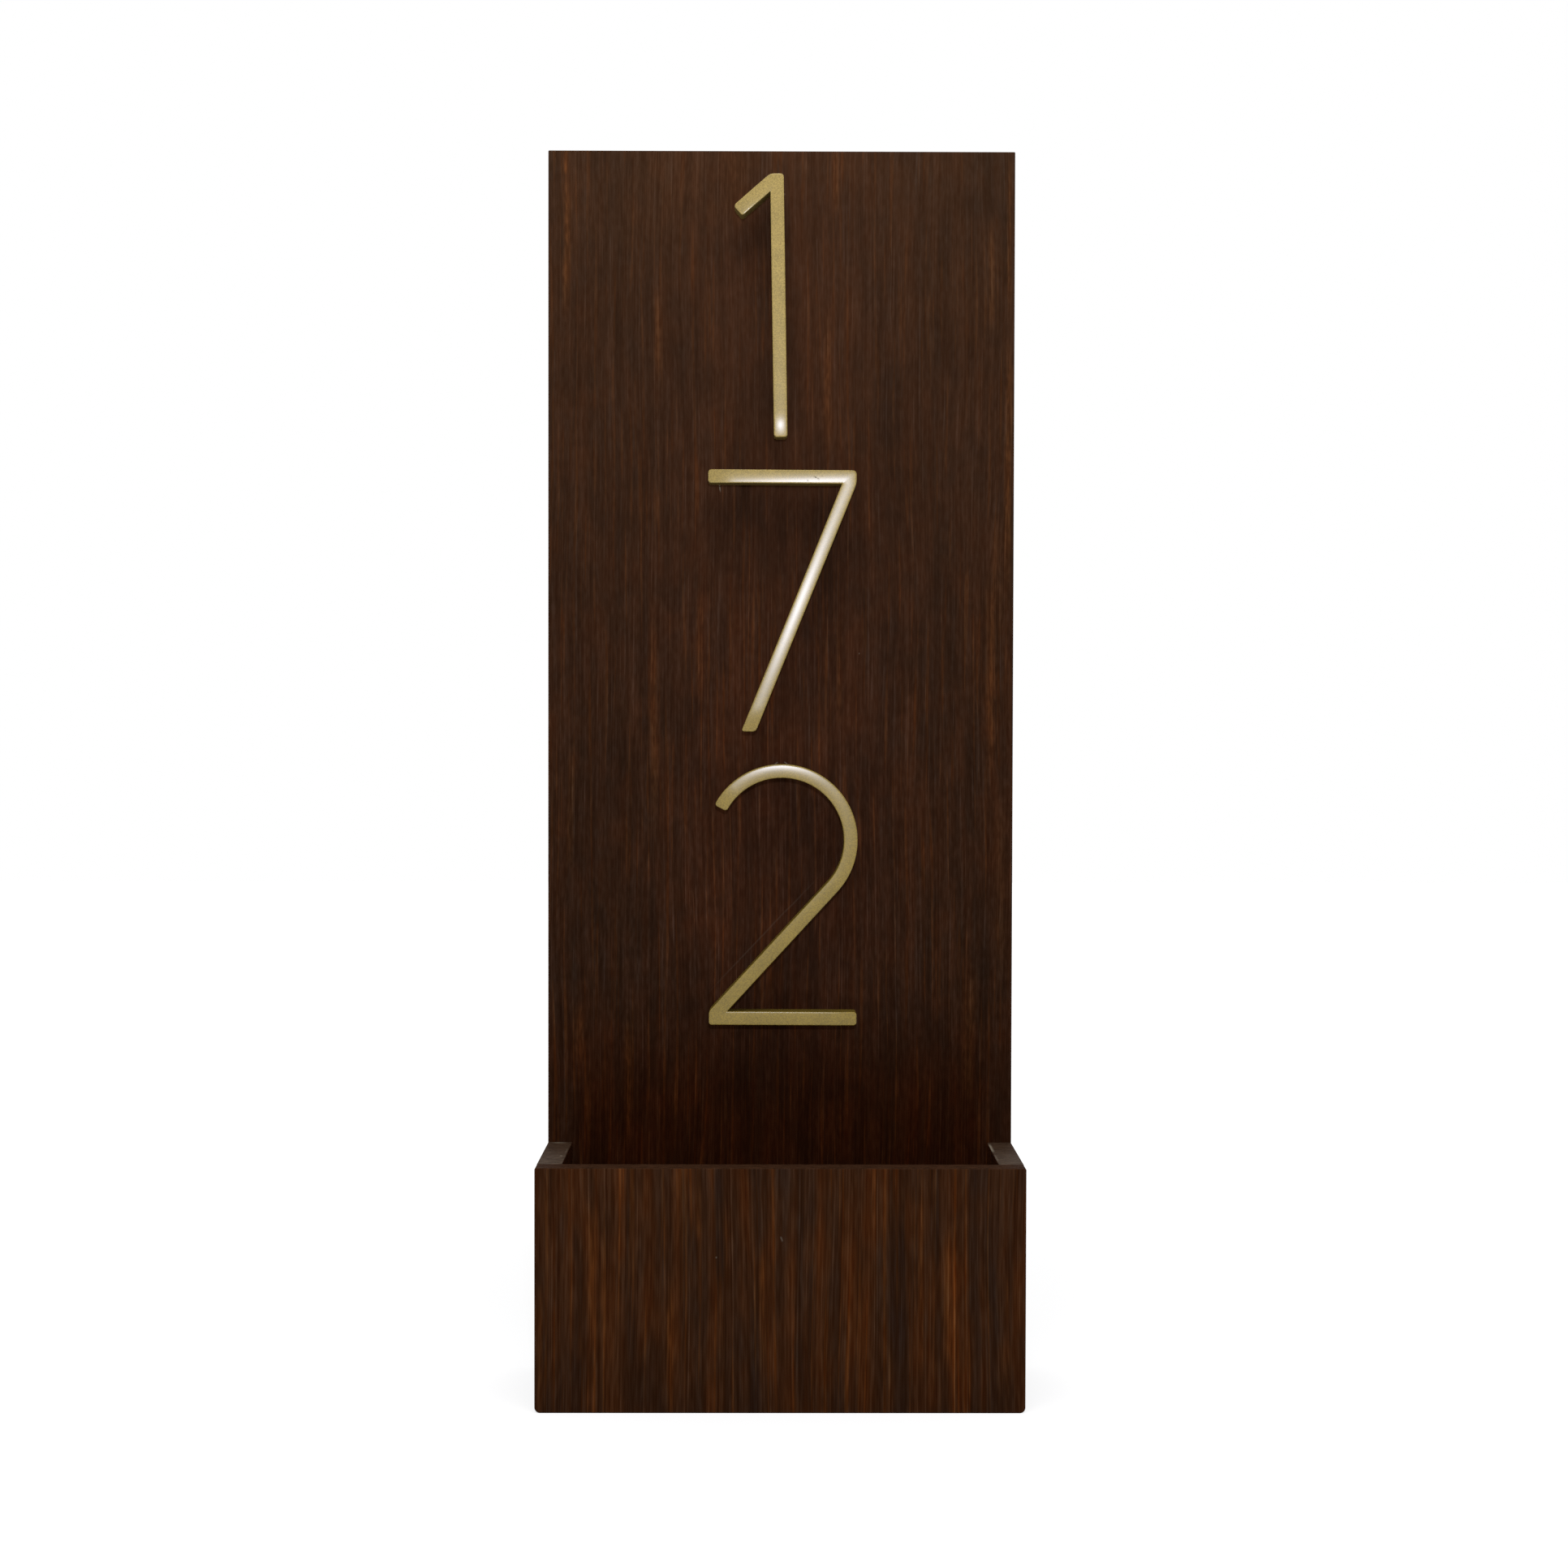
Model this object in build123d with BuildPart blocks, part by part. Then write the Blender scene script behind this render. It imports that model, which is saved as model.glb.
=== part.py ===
from build123d import *
import os
from math import cos, radians, sin, tan

# A house number plaque: a tall stained board with an open planter box at its foot, and
# three metal numerals that float in front of the board on stand-offs.
# Millimetres, +Z up, and the front looks towards -Y. The origin is on the base, in the
# middle of the width and of the whole depth.

os.makedirs("parts", exist_ok=True)

# Board and planter box
board_width = 228.6
board_thickness = 12.0
box_height = 114.3
box_inside_depth = 64.0
front_thickness = 12.0
side_thickness = 12.0
bottom_thickness = 12.0
edge_round = 0.5
foot_corner_round = 2.6
drain_radius = 4.0
drain_spacing = 60.0
drain_count = 3

# Numerals, each hung a little out of true
numeral_height = 126.6
numeral_thickness = 12.0
stroke = 6.6
face_round = 1.2
corner_extra = 0.3
inner_round = 0.5
numeral_gap = 15.7
top_margin = 15.2
lower_margin = 60.3
one_arm_length = 23.4
one_arm_angle = 40.0
one_x = -0.4
one_tilt = 0.95
seven_width = 71.8
seven_lean = 21.7
seven_x = -0.3
seven_tilt = -0.35
two_radius = 36.8
two_lean = 42.3
two_tip_angle = 152.7
two_x = 0.2
two_tilt = -0.2

# Stand-offs: a threaded stud in a sleeve, two to a numeral
standoff_length = 9.0
stud_radius = 1.5
stud_clearance = 0.1
stud_inset = 18.0
stud_in_numeral = 6.0
stud_cover = 3.0
sleeve_wall = 0.9

# Keyhole hangers, sunk flush into the back
hanger_thickness = 2.0
hanger_rim = 3.5
hanger_end = 6.0
hanger_clearance = 0.2
hanger_inset = 45.0
hanger_drop = 60.0
keyhole_entry_radius = 4.5
keyhole_slot_radius = 2.3
keyhole_travel = 12.0
head_pocket_margin = 1.0
head_pocket_cover = 5.0
hanger_screw_radius = 1.4
hanger_screw_head_radius = 2.8
hanger_screw_cover = 3.0
hanger_screw_land = 6.5

# Screws and dowels that hold the planter box
box_screw_radius = 2.0
box_screw_head_radius = 4.0
box_screw_length = 40.0
box_screw_inset = 34.0
screw_clearance = 0.1
screw_point_length = 4.0
countersink_angle = 90.0
recess_share = 1.2
recess_width = 0.7
recess_depth = 1.0
dowel_radius = 3.0
dowel_length = 24.0
dowel_inset = 17.0
dowel_cover = 5.0
dowel_clearance = 0.1
hole_relief = 0.5

# Faces across the depth
total_depth = board_thickness + box_inside_depth + front_thickness
back_y = total_depth / 2
board_y = back_y - board_thickness
panel_y = board_y - box_inside_depth
numeral_y = board_y - standoff_length

# Heights of the numerals' feet, and the board that carries them
two_z = box_height + lower_margin
seven_z = two_z + numeral_height + numeral_gap
one_z = seven_z + numeral_height + numeral_gap
board_height = one_z + numeral_height + top_margin

# Sizes that follow from the ones above
corner_round = face_round + corner_extra
stud_in_board = board_thickness - stud_cover
stud_length = stud_in_board + standoff_length + stud_in_numeral
stud_hole_radius = stud_radius + stud_clearance
sleeve_radius = stud_hole_radius + sleeve_wall
side_x = board_width / 2 - side_thickness / 2
inside_width = board_width - 2 * side_thickness
hanger_x = board_width / 2 - hanger_inset
hanger_z = board_height - hanger_drop
head_pocket_radius = keyhole_entry_radius + head_pocket_margin
head_pocket_depth = board_thickness - hanger_thickness - head_pocket_cover
hanger_screw_length = board_thickness - hanger_screw_cover
hanger_screw_offset = keyhole_travel / 2 + head_pocket_radius + hanger_screw_land
hanger_length = 2 * (hanger_screw_offset + hanger_end)
hanger_width = 2 * (keyhole_entry_radius + hanger_rim)
bottom_screw_x = drain_spacing / 2
dowel_in_front = front_thickness - dowel_cover
dowel_in_side = dowel_length - dowel_in_front
side_screw_heights = (box_screw_inset, box_height - box_screw_inset)
dowel_heights = (dowel_inset, box_height - dowel_inset)
box_screw_reach = box_screw_length - board_thickness + hole_relief


def numeral_plane(x, z, tilt):
    """Plane of a numeral's back: it faces the viewer and turns anticlockwise by tilt."""
    return Plane((x, numeral_y, z), x_dir=(1, 0, 0), z_dir=(0, -1, 0)).rotated((0, -tilt, 0))


def back_plane(x, z):
    """Plane on the board's back, facing the wall, with its own Y pointing up."""
    return Plane((x, back_y, z), x_dir=(-1, 0, 0), z_dir=(0, 1, 0))


def nearest_vertices(outline, points):
    """The outline's vertices that lie at these points."""
    return [outline.vertices().sort_by_distance(point)[0] for point in points]


def screw_profile(radius, head_radius, length):
    """Half section of a countersunk screw: head on the axis at 0, point at -length."""
    head_height = (head_radius - radius) / tan(radians(countersink_angle / 2))
    return [
        (0, 0),
        (head_radius, 0),
        (radius, -head_height),
        (radius, screw_point_length - length),
        (0, -length),
    ]


# Numeral one: a stem with an arm that falls to the left from its top
half_stroke = stroke / 2
arm = radians(one_arm_angle)
arm_root = (-half_stroke, numeral_height)
arm_top = (arm_root[0] - one_arm_length * cos(arm), arm_root[1] - one_arm_length * sin(arm))
arm_end = (arm_top[0] + stroke * sin(arm), arm_top[1] - stroke * cos(arm))
one_inner = (-half_stroke, numeral_height - stroke / cos(arm))
one_corners = [
    (half_stroke, 0),
    (half_stroke, numeral_height),
    arm_root,
    arm_top,
    arm_end,
    one_inner,
    (-half_stroke, 0),
]
one_plane = numeral_plane(one_x, one_z, one_tilt)
one_studs = [(0, stud_inset), (0, numeral_height - stud_inset)]

with BuildSketch(one_plane) as one_outline:
    with BuildLine():
        Polyline(*one_corners, close=True)
    make_face()
    fillet(nearest_vertices(one_outline, [p for p in one_corners if p != one_inner]), corner_round)
    fillet(nearest_vertices(one_outline, [one_inner]), inner_round)

# Numeral seven: a level bar and a leg that leans from the bar's right end
lean = radians(seven_lean)
seven_right = seven_width / 2
bar_under = numeral_height - stroke
leg_width = stroke / cos(lean)
leg_foot = seven_right - bar_under * tan(lean)
seven_inner = (seven_right - leg_width, bar_under)
seven_corners = [
    (-seven_right, numeral_height),
    (seven_right, numeral_height),
    (seven_right, bar_under),
    (leg_foot, 0),
    (leg_foot - leg_width, 0),
    seven_inner,
    (-seven_right, bar_under),
]
seven_plane = numeral_plane(seven_x, seven_z, seven_tilt)
leg_stud_x = leg_foot + stud_inset * tan(lean) - leg_width / 2
seven_studs = [(stud_inset - seven_right, numeral_height - half_stroke), (leg_stud_x, stud_inset)]

with BuildSketch(seven_plane) as seven_outline:
    with BuildLine():
        Polyline(*seven_corners, close=True)
    make_face()
    fillet(nearest_vertices(seven_outline, [p for p in seven_corners if p != seven_inner]), corner_round)
    fillet(nearest_vertices(seven_outline, [seven_inner]), inner_round)

# Numeral two: an arc, a leg that leaves it at a tangent and a bar on the base line
lean = radians(two_lean)
bow = (0, numeral_height - two_radius)
two_inside = two_radius - stroke
sweep_angle = two_tip_angle + two_lean


def on_bow(radius, angle):
    """Point at this radius and angle from the middle of the two's arc."""
    return (radius * cos(angle), bow[1] + radius * sin(angle))


def leg_at_bar(radius):
    """Where the leg's edge that leaves the arc of this radius meets the bar's top."""
    start = on_bow(radius, -lean)
    return (start[0] - (start[1] - stroke) * tan(lean), stroke)


two_tip = radians(two_tip_angle)
two_left = leg_at_bar(two_inside)
two_inner = leg_at_bar(two_radius)
tip_corners = [on_bow(two_radius, two_tip), on_bow(two_inside, two_tip)]
bar_corners = [two_left, (two_left[0], 0), (two_radius, 0), (two_radius, stroke)]
two_plane = numeral_plane(two_x, two_z, two_tilt)
two_studs = [
    (0, numeral_height - half_stroke),
    ((two_left[0] + two_radius) / 2, half_stroke),
]

with BuildSketch(two_plane) as two_outline:
    with BuildLine():
        CenterArc(bow, two_radius, -two_lean, sweep_angle)
        Line(*tip_corners)
        CenterArc(bow, two_inside, -two_lean, sweep_angle)
        Polyline(on_bow(two_inside, -lean), *bar_corners, two_inner, on_bow(two_radius, -lean))
    make_face()
    fillet(nearest_vertices(two_outline, tip_corners + bar_corners), corner_round)
    fillet(nearest_vertices(two_outline, [two_inner]), inner_round)

# The numerals: each outline is given its thickness, a rounded face and two blind stud holes
numerals = {
    "numeral_one": (one_outline, one_plane, one_studs),
    "numeral_seven": (seven_outline, seven_plane, seven_studs),
    "numeral_two": (two_outline, two_plane, two_studs),
}
for name, (outline, plane, points) in numerals.items():
    with BuildPart() as numeral:
        extrude(outline.sketch, amount=numeral_thickness)
        fillet(numeral.faces().sort_by(Axis.Y)[0].edges(), face_round)
        with BuildSketch(plane):
            with Locations(*points):
                Circle(stud_hole_radius)
        extrude(amount=stud_in_numeral + hole_relief, mode=Mode.SUBTRACT)
    numeral.part.label = name
    export_step(numeral.part, f"parts/{name}.step")

# Studs and sleeves behind the numerals
with BuildPart() as numeral_studs:
    for outline, plane, points in numerals.values():
        with BuildSketch(plane.offset(-(standoff_length + stud_in_board))):
            with Locations(*points):
                Circle(stud_radius)
    extrude(amount=stud_length)
numeral_studs.part.label = "numeral_studs"
export_step(numeral_studs.part, "parts/numeral_studs.step")

with BuildPart() as standoff_sleeves:
    for outline, plane, points in numerals.values():
        with BuildSketch(plane.offset(-standoff_length)):
            with Locations(*points):
                Circle(sleeve_radius)
                Circle(stud_hole_radius, mode=Mode.SUBTRACT)
    extrude(amount=standoff_length)
standoff_sleeves.part.label = "standoff_sleeves"
export_step(standoff_sleeves.part, "parts/standoff_sleeves.step")

# Places of the screws on the board's back
box_screw_planes = [back_plane(x, z) for x in (-side_x, side_x) for z in side_screw_heights]
box_screw_planes += [back_plane(x, bottom_thickness / 2) for x in (-bottom_screw_x, bottom_screw_x)]
hanger_planes = [back_plane(x, hanger_z) for x in (-hanger_x, hanger_x)]
hanger_screw_points = [(0, -hanger_screw_offset), (0, hanger_screw_offset)]
entry_point = (0, -keyhole_travel / 2)

# Back board, with its stud holes, screw holes and the sinkings for the hangers
with BuildPart() as back_board:
    with BuildSketch(Plane.XY):
        with Locations((0, (board_y + back_y) / 2)):
            Rectangle(board_width, board_thickness)
    extrude(amount=board_height)
    fillet(back_board.edges(), edge_round)
    for outline, plane, points in numerals.values():
        with BuildSketch(plane.offset(-standoff_length)):
            with Locations(*points):
                Circle(stud_hole_radius)
    extrude(amount=-(stud_in_board + hole_relief), mode=Mode.SUBTRACT)
    with Locations(*[plane.location for plane in box_screw_planes]):
        CounterSinkHole(
            box_screw_radius + screw_clearance,
            box_screw_head_radius + screw_clearance,
            depth=board_thickness,
            counter_sink_angle=countersink_angle,
        )
    for plane in hanger_planes:
        with BuildSketch(plane):
            SlotOverall(hanger_length, hanger_width, rotation=90)
            offset(amount=hanger_clearance)
    extrude(amount=-hanger_thickness, mode=Mode.SUBTRACT)
    for plane in hanger_planes:
        with BuildSketch(plane.offset(-hanger_thickness)):
            SlotCenterToCenter(keyhole_travel, 2 * head_pocket_radius, rotation=90)
    extrude(amount=-head_pocket_depth, mode=Mode.SUBTRACT)
    with Locations(*[plane.location for plane in hanger_planes]):
        with Locations(*hanger_screw_points):
            CounterSinkHole(
                hanger_screw_radius + screw_clearance,
                hanger_screw_head_radius + screw_clearance,
                depth=hanger_screw_length + hole_relief,
                counter_sink_angle=countersink_angle,
            )
back_board.part.label = "back_board"
export_step(back_board.part, "parts/back_board.step")

# Front panel, as wide as the board, with eased lower corners and blind dowel holes in its back
with BuildPart() as front_panel:
    with BuildSketch(Plane.XZ.offset(-panel_y)) as front_outline:
        Rectangle(board_width, box_height, align=(Align.CENTER, Align.MIN))
        fillet(front_outline.vertices().group_by(Axis.Y)[-1], edge_round + corner_extra)
        fillet(front_outline.vertices().group_by(Axis.Y)[0], foot_corner_round)
    extrude(amount=front_thickness)
    front_faces = front_panel.faces().sort_by(Axis.Y)
    fillet(front_faces[0].edges() + front_faces[-1].edges(), edge_round)
    with BuildSketch(Plane.XZ.offset(-panel_y)):
        with Locations(*[(x, z) for x in (-side_x, side_x) for z in dowel_heights]):
            Circle(dowel_radius + dowel_clearance)
    extrude(amount=dowel_in_front + hole_relief, mode=Mode.SUBTRACT)
front_panel.part.label = "front_panel"
export_step(front_panel.part, "parts/front_panel.step")

# Side panels, butted between the front panel and the board
for name, x in (("left_side_panel", -side_x), ("right_side_panel", side_x)):
    with BuildPart() as side_panel:
        with BuildSketch(Plane.XY):
            with Locations((x, (panel_y + board_y) / 2)):
                Rectangle(side_thickness, box_inside_depth)
        extrude(amount=box_height)
        fillet(side_panel.edges(), edge_round)
        with BuildSketch(Plane.XZ.offset(-panel_y)):
            with Locations(*[(x, z) for z in dowel_heights]):
                Circle(dowel_radius + dowel_clearance)
        extrude(amount=-(dowel_in_side + hole_relief), mode=Mode.SUBTRACT)
        with BuildSketch(Plane.XZ.offset(-board_y)):
            with Locations(*[(x, z) for z in side_screw_heights]):
                Circle(box_screw_radius + screw_clearance)
        extrude(amount=box_screw_reach, mode=Mode.SUBTRACT)
    side_panel.part.label = name
    export_step(side_panel.part, f"parts/{name}.step")

# Bottom panel inside the walls, with drain holes
with BuildPart() as bottom_panel:
    with BuildSketch(Plane.XY):
        with Locations((0, (panel_y + board_y) / 2)):
            Rectangle(inside_width, box_inside_depth)
    extrude(amount=bottom_thickness)
    fillet(bottom_panel.edges(), edge_round)
    with Locations((0, (panel_y + board_y) / 2, bottom_thickness)):
        with GridLocations(drain_spacing, 0, drain_count, 1):
            Hole(drain_radius)
    with BuildSketch(Plane.XZ.offset(-board_y)):
        with Locations(*[(x, bottom_thickness / 2) for x in (-bottom_screw_x, bottom_screw_x)]):
            Circle(box_screw_radius + screw_clearance)
    extrude(amount=box_screw_reach, mode=Mode.SUBTRACT)
bottom_panel.part.label = "bottom_panel"
export_step(bottom_panel.part, "parts/bottom_panel.step")

# Dowels between the front panel and the sides
with BuildPart() as front_dowels:
    with BuildSketch(Plane.XZ.offset(dowel_in_front - panel_y)):
        with Locations(*[(x, z) for x in (-side_x, side_x) for z in dowel_heights]):
            Circle(dowel_radius)
    extrude(amount=-dowel_length)
front_dowels.part.label = "front_dowels"
export_step(front_dowels.part, "parts/front_dowels.step")

# Keyhole hanger plates: the round entry is below, and the narrow slot runs up from it
for name, plane in zip(("keyhole_hanger_left", "keyhole_hanger_right"), hanger_planes):
    with BuildPart() as hanger:
        with BuildSketch(plane):
            SlotOverall(hanger_length, hanger_width, rotation=90)
            with Locations(entry_point):
                Circle(keyhole_entry_radius, mode=Mode.SUBTRACT)
            SlotCenterToCenter(keyhole_travel, 2 * keyhole_slot_radius, rotation=90, mode=Mode.SUBTRACT)
        extrude(amount=-hanger_thickness)
        with Locations(plane.location):
            with Locations(*hanger_screw_points):
                CounterSinkHole(
                    hanger_screw_radius + screw_clearance,
                    hanger_screw_head_radius + screw_clearance,
                    depth=hanger_thickness,
                    counter_sink_angle=countersink_angle,
                )
    hanger.part.label = name
    export_step(hanger.part, f"parts/{name}.step")

# Screws, each turned about its own axis, with a cross recess in the head
screw_groups = {
    "box_screws": (box_screw_planes, [(0, 0)], box_screw_radius, box_screw_head_radius, box_screw_length),
    "hanger_screws": (
        hanger_planes,
        hanger_screw_points,
        hanger_screw_radius,
        hanger_screw_head_radius,
        hanger_screw_length,
    ),
}
for name, (planes, points, radius, head_radius, length) in screw_groups.items():
    with BuildPart() as one_screw:
        with BuildSketch(Plane.XZ):
            with BuildLine():
                Polyline(*screw_profile(radius, head_radius, length), close=True)
            make_face()
        revolve(axis=Axis.Z)
        with BuildSketch(Plane.XY):
            Rectangle(head_radius * recess_share, recess_width)
            Rectangle(recess_width, head_radius * recess_share)
        extrude(amount=-recess_depth, mode=Mode.SUBTRACT)
    with BuildPart() as screws:
        with Locations(*[plane.location for plane in planes]):
            with Locations(*points):
                add(one_screw.part)
    screws.part.label = name
    export_step(screws.part, f"parts/{name}.step")
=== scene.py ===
# %% [markdown]
# # A house number plaque in wood and gold
# The object is a tall stained board with an open planter box at its foot and three slim numerals
# that float in front of it. The solids come from the CAD model, already at their real size and in
# their real place, in metres. Here they get their finish: a dark stain over straight grain, a
# satin gold lacquer, zinc plate, black nylon and bare beech.

# %% Load the solids
import bpy
import numpy as np
from math import cos, radians, sin, tan
from mathutils import Matrix, Vector


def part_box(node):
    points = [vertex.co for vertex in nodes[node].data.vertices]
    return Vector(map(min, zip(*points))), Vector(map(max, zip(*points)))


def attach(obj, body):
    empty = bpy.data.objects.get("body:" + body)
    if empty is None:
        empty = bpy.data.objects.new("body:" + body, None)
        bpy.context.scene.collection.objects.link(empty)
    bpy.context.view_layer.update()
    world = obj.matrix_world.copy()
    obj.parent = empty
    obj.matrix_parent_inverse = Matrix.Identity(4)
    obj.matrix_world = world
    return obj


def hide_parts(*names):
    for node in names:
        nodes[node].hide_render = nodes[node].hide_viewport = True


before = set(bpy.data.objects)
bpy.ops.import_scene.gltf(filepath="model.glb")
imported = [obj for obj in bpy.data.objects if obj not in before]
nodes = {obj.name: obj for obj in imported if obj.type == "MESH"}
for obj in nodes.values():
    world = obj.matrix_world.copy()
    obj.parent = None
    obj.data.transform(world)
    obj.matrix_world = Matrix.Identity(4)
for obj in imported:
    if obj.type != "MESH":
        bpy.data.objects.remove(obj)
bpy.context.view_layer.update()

# %% [markdown]
# ## The camera
# The camera stands about 1.2 m in front of the plaque, a little above its middle, and looks almost
# level. A camera can be aimed with a constraint, but a fitted camera has a small turn about its own
# axis too, so its three directions are worked out and written into its matrix.

# %% Camera
MM = 0.001
SENSOR = 36.0
LENS = 59.37
EYE = Vector((-6.7, -1240.2, 320.6)) * MM
TURN_RIGHT, LOOK_DOWN, ROLL = radians(0.378), radians(1.324), radians(0.129)


def camera_matrix(eye, turn, down, roll):
    """Columns of the matrix: the picture's right, its up and the way back, then the eye's place."""
    ahead = Vector((sin(turn) * cos(down), cos(turn) * cos(down), -sin(down)))
    right = Vector((cos(turn), -sin(turn), 0.0))
    up = right.cross(ahead)
    rolled_right = right * cos(roll) + up * sin(roll)
    rolled_up = up * cos(roll) - right * sin(roll)
    turned_axes = Matrix((rolled_right, rolled_up, -ahead)).transposed()
    return Matrix.Translation(eye) @ turned_axes.to_4x4()


lens = bpy.data.cameras.new("front_camera")
lens.sensor_width = SENSOR
lens.lens = LENS
camera = bpy.data.objects.new("front_camera", lens)
camera.matrix_world = camera_matrix(EYE, TURN_RIGHT, LOOK_DOWN, ROLL)
bpy.context.scene.collection.objects.link(camera)
bpy.context.scene.camera = camera
bpy.context.scene.view_settings.view_transform = "Standard"
print("camera at", [round(x, 3) for x in EYE], "with a lens of", LENS, "mm")

# %% [markdown]
# ## Small helpers for node trees
# A material is a tree of nodes, and most of the work is naming nodes, setting sockets and drawing
# links. It could be drawn by hand in the shader editor. Here short helpers do it: one adds a node
# with its settings and inputs, where an input is either a value or another node's output, and the
# others are the few kinds of node that every finish needs.

# %% Node helpers
def fill(tree, socket, value):
    """Links another node's output to a socket, or writes a plain value into it."""
    if isinstance(value, bpy.types.NodeSocket):
        tree.links.new(value, socket)
    else:
        socket.default_value = value


def add(tree, kind, inputs=(), **settings):
    """Adds a node, sets its properties, and fills each named input with a value or a link."""
    node = tree.nodes.new(kind)
    for name, value in settings.items():
        setattr(node, name, value)
    for name, value in dict(inputs).items():
        fill(tree, node.inputs[name], value)
    return node


def sums(tree, operation, a, b=0.0, c=0.0, clamp=False):
    """One Math node: a, b and c are numbers or outputs, and the result is an output."""
    values = {0: a, 1: b, 2: c}
    return add(tree, "ShaderNodeMath", values, operation=operation, use_clamp=clamp).outputs[0]


def vectors(tree, operation, a, b=(0.0, 0.0, 0.0), c=(0.0, 0.0, 0.0)):
    """One Vector Math node between two or three vectors."""
    return add(tree, "ShaderNodeVectorMath", {0: a, 1: b, 2: c}, operation=operation).outputs[0]


def split(tree, vector):
    """The X, Y and Z of a vector, as three outputs."""
    return add(tree, "ShaderNodeSeparateXYZ", {0: vector}).outputs


def turned(tree, vector, angle):
    """A vector turned about the Y axis by an angle in radians."""
    inputs = {"Vector": vector, "Angle": angle}
    return add(tree, "ShaderNodeVectorRotate", inputs, rotation_type="Y_AXIS").outputs[0]


def ease(tree, value, start, end, low=0.0, high=1.0):
    """Goes smoothly from low to high as the value goes from start to end."""
    inputs = {"Value": value, "From Min": start, "From Max": end, "To Min": low, "To Max": high}
    return add(tree, "ShaderNodeMapRange", inputs, interpolation_type="SMOOTHSTEP").outputs[0]


def blend(tree, share, a, b, kind="MIX"):
    """Mixes two colours by a share: inputs 6 and 7 of a Mix node are its colours."""
    inputs = {0: share, 6: a, 7: b}
    return add(tree, "ShaderNodeMix", inputs, data_type="RGBA", blend_type=kind).outputs[2]


def noise(tree, position, spread, detail=1.0, roughness=0.5):
    """Soft noise whose spots are about spread millimetres wide along X, Y and Z."""
    rate = tuple(1.0 / s for s in spread)
    place = vectors(tree, "MULTIPLY", position, rate)
    inputs = {"Vector": place, "Scale": 1.0, "Detail": detail, "Roughness": roughness}
    return add(tree, "ShaderNodeTexNoise", inputs).outputs[0]


helpers = (fill, add, sums, vectors, split, turned, ease, blend, noise)
print("node helpers:", [helper.__name__ for helper in helpers])

# %% Group and material helpers
SOCKET_KINDS = {"F": "NodeSocketFloat", "V": "NodeSocketVector"}


def new_group(name, inputs, outputs):
    """An empty shader node group with named sockets: F is a number and V a vector."""
    tree = bpy.data.node_groups.new(name, "ShaderNodeTree")
    for label, kind in inputs:
        tree.interface.new_socket(label, in_out="INPUT", socket_type=SOCKET_KINDS[kind])
    for label, kind in outputs:
        tree.interface.new_socket(label, in_out="OUTPUT", socket_type=SOCKET_KINDS[kind])
    return tree, tree.nodes.new("NodeGroupInput").outputs, tree.nodes.new("NodeGroupOutput").inputs


def use_group(tree, group, inputs):
    """Places a node group in a material and returns its outputs."""
    return add(tree, "ShaderNodeGroup", inputs, node_tree=group).outputs


def new_material(name):
    """A new material, its tree, its Principled shader, and the position in millimetres."""
    material = bpy.data.materials.new(name)
    material.use_nodes = True
    tree = material.node_tree
    metres = add(tree, "ShaderNodeTexCoord").outputs["Object"]
    position = add(tree, "ShaderNodeVectorMath", {0: metres, "Scale": 1.0 / MM}, operation="SCALE")
    return material, tree, tree.nodes["Principled BSDF"], position.outputs[0]


def facing_of(tree):
    """The X, Y and Z of the way that the surface faces."""
    return split(tree, add(tree, "ShaderNodeTexCoord").outputs["Normal"])


def lay_on(tree, shader, colour, rough, height, strength, depth):
    """Gives a shader its colour and roughness, and a bump of some depth in mm from a height."""
    inputs = {"Height": height, "Strength": strength, "Distance": depth * MM}
    fill(tree, shader.inputs["Base Color"], colour)
    fill(tree, shader.inputs["Roughness"], rough)
    fill(tree, shader.inputs["Normal"], add(tree, "ShaderNodeBump", inputs).outputs[0])


print("group sockets can be:", sorted(SOCKET_KINDS.values()))

# %% [markdown]
# ## Floor and background
# The plaque stands in white surroundings. The background is white for the eye and for reflections,
# while the light that it gives stays at a plain level. More light would also make it white, but it
# would bleach the wood. The floor is a pale sheet that keeps the shadow near the plaque and runs out
# into the white further off. Under the plaque it stays dark, so that the drain holes in the box look
# dark too.

# %% World
AMBIENT = 0.44
WHITE = (1.0, 1.0, 1.0, 1.0)


def seen_directly(tree):
    """1 for rays from the eye, from a reflection or through glass, and 0 for the light's own."""
    path = add(tree, "ShaderNodeLightPath").outputs
    seen = sums(tree, "MAXIMUM", path["Is Camera Ray"], path["Is Glossy Ray"])
    return sums(tree, "MAXIMUM", seen, path["Is Transmission Ray"])


world = bpy.data.worlds.new("white_surroundings")
world.use_nodes = True
sky = world.node_tree.nodes["Background"]
sky.inputs["Color"].default_value = WHITE
strength = ease(world.node_tree, seen_directly(world.node_tree), 0.0, 1.0, AMBIENT, 1.0)
world.node_tree.links.new(strength, sky.inputs["Strength"])
bpy.context.scene.world = world
print("ambient light:", AMBIENT)

# %% Floor
FLOOR_SIZE = 8.0
FLOOR_COLOUR = (0.50, 0.50, 0.50, 1.0)
FLOOR_ROUGHNESS = 0.9
NEAR, FAR = 0.20, 1.20
NEAR_LIFT, FAR_LIFT = 0.75, 0.95
UNDER_X, UNDER_Y = (0.104, 0.114), (0.034, 0.044)


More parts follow.
